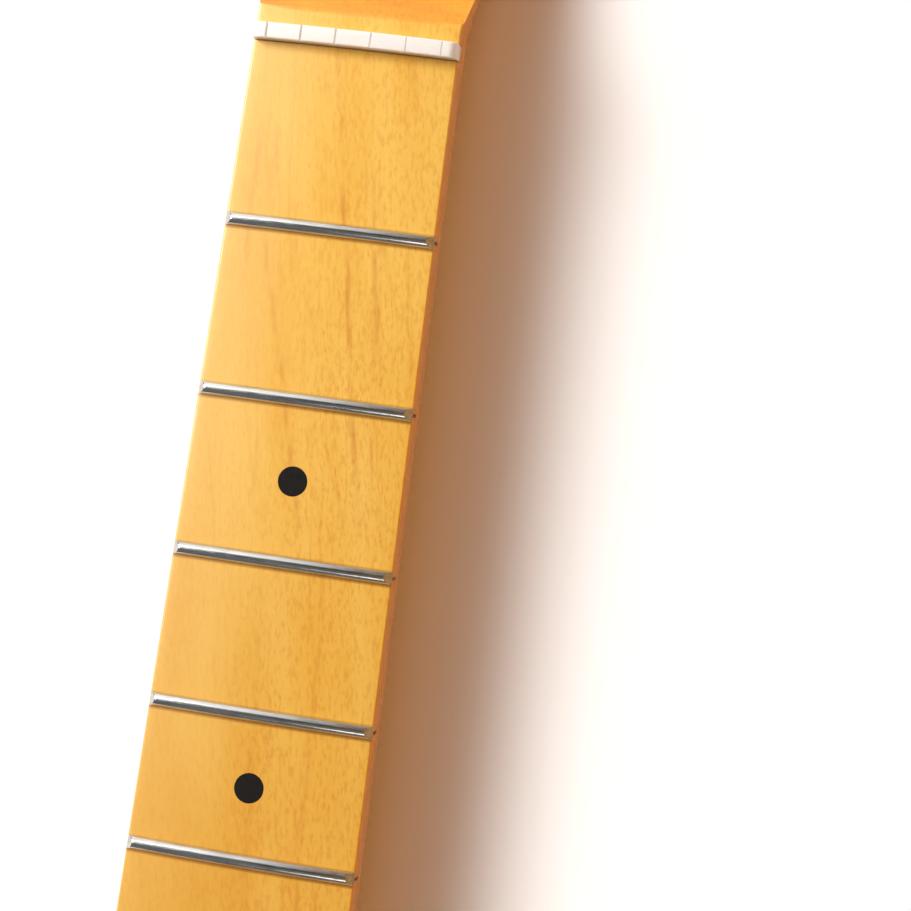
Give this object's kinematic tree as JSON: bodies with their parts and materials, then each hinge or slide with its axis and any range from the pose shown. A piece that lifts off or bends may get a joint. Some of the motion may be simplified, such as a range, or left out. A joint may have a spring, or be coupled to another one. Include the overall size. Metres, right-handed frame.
{
  "type": "electric guitar neck",
  "caption": "Bare bolt-on electric guitar neck: maple blank and cambered maple fingerboard, metal frets, white nut, black dots, in-line headstock, dual-action truss rod.",
  "frame": {"origin": "centre of the four-screw pattern on the flat underside of the heel", "axes": "+X along the neck from the heel to the headstock, +Y to the bass side, +Z out of the fingerboard"},
  "size_m": [0.6433, 0.0858, 0.0281],
  "materials": {
    "maple_neck": "gloss amber lacquer over straight-grained maple",
    "maple_board": "gloss amber lacquer over fine-figured maple",
    "bone_nut": "polished white bone",
    "nickel_silver": "polished nickel silver fret wire",
    "black_mark": "black dot under lacquer",
    "steel": "plain machined steel",
    "brass": "sawn brass",
    "sleeve_plastic": "shrunk-on plastic tube"
  },
  "bodies": {
    "neck": {"neck_blank": "maple_neck", "fingerboard": "maple_board", "nut": "bone_nut", "fret_01": "nickel_silver", "fret_02": "nickel_silver", "fret_03": "nickel_silver", "fret_04": "nickel_silver", "fret_05": "nickel_silver", "fret_06": "nickel_silver", "fret_07": "nickel_silver", "fret_08": "nickel_silver", "fret_09": "nickel_silver", "fret_10": "nickel_silver", "fret_11": "nickel_silver", "fret_12": "nickel_silver", "fret_13": "nickel_silver", "fret_14": "nickel_silver", "fret_15": "nickel_silver", "fret_16": "nickel_silver", "fret_17": "nickel_silver", "fret_18": "nickel_silver", "fret_19": "nickel_silver", "fret_20": "nickel_silver", "fret_21": "nickel_silver", "dot_3": "black_mark", "dot_5": "black_mark", "dot_7": "black_mark", "dot_9": "black_mark", "dot_12_treble": "black_mark", "dot_12_bass": "black_mark", "dot_15": "black_mark", "dot_17": "black_mark", "dot_19": "black_mark", "dot_21": "black_mark", "side_dot_3": "black_mark", "side_dot_5": "black_mark", "side_dot_7": "black_mark", "side_dot_9": "black_mark", "side_dot_12_heel": "black_mark", "side_dot_12_head": "black_mark", "side_dot_15": "black_mark", "side_dot_17": "black_mark", "side_dot_19": "black_mark", "side_dot_21": "black_mark", "truss_flat_bar": "steel", "truss_heel_block": "brass", "truss_head_block": "brass", "truss_rod_sleeve": "sleeve_plastic"},
    "truss_screw": {"truss_rod": "steel", "truss_adjusting_nut": "steel"}
  },
  "joints": [
    {"name": "truss_rod_turn", "type": "hinge", "parent": "neck", "child": "truss_screw", "pos_m": [-0.0321, 0, 0.0139], "axis": [1, 0, 0], "range_deg": [-450, 450]}
  ]
}
